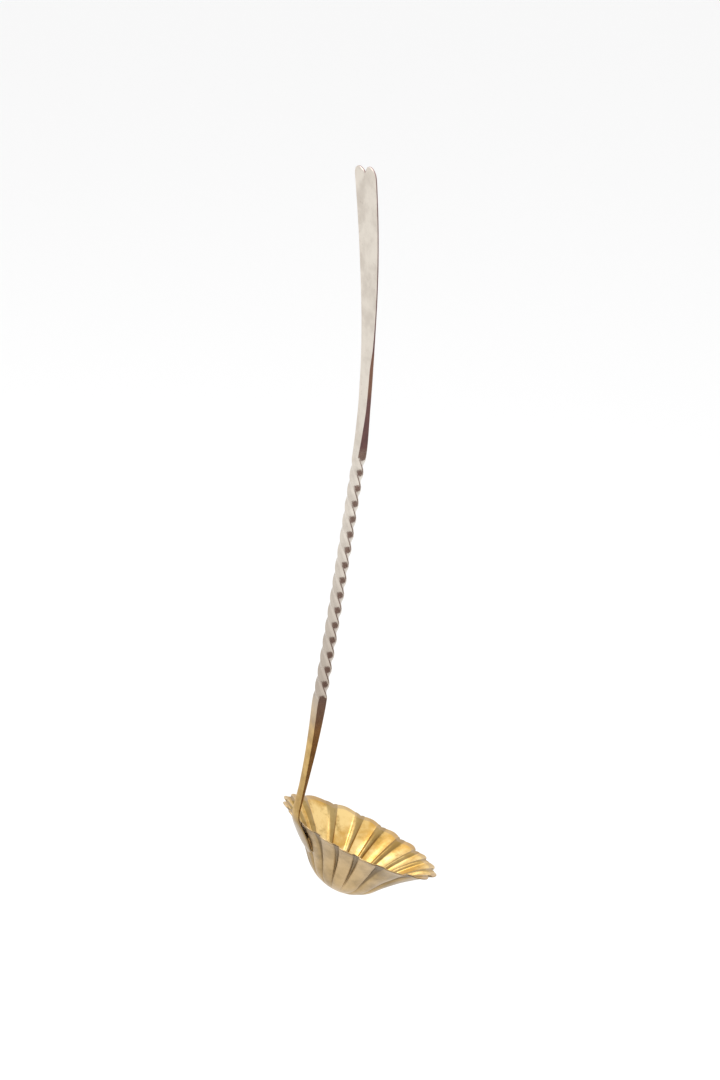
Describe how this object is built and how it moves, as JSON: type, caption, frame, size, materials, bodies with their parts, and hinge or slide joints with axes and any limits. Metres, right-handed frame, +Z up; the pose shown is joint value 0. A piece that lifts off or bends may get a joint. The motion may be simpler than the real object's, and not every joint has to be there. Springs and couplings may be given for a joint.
{
  "type": "ladle",
  "caption": "serving ladle: a round fluted sheet-metal bowl with a scalloped rim, on a long forged handle with a twisted middle and a notched flat tip to hang it by",
  "frame": {"origin": "bottom of the hanging notch between the two lobes at the top of the handle", "axes": "+Z up as the ladle hangs by its notch, with its centre of gravity straight below; +X from the handle towards the pouring lip of the bowl; Y across the ladle"},
  "size_m": [0.0852, 0.0967, 0.424],
  "materials": {
    "bowl_brass": "thin pressed brass, satin, golden inside, duller and stained outside",
    "handle_metal": "forged brass with worn silvery plating, which fades to bare brass below the twist",
    "braze_brass": "dull braze metal in the joint"
  },
  "bodies": {
    "root": {"bowl": "bowl_brass", "handle": "handle_metal", "braze_seam": "braze_brass"}
  },
  "joints": []
}
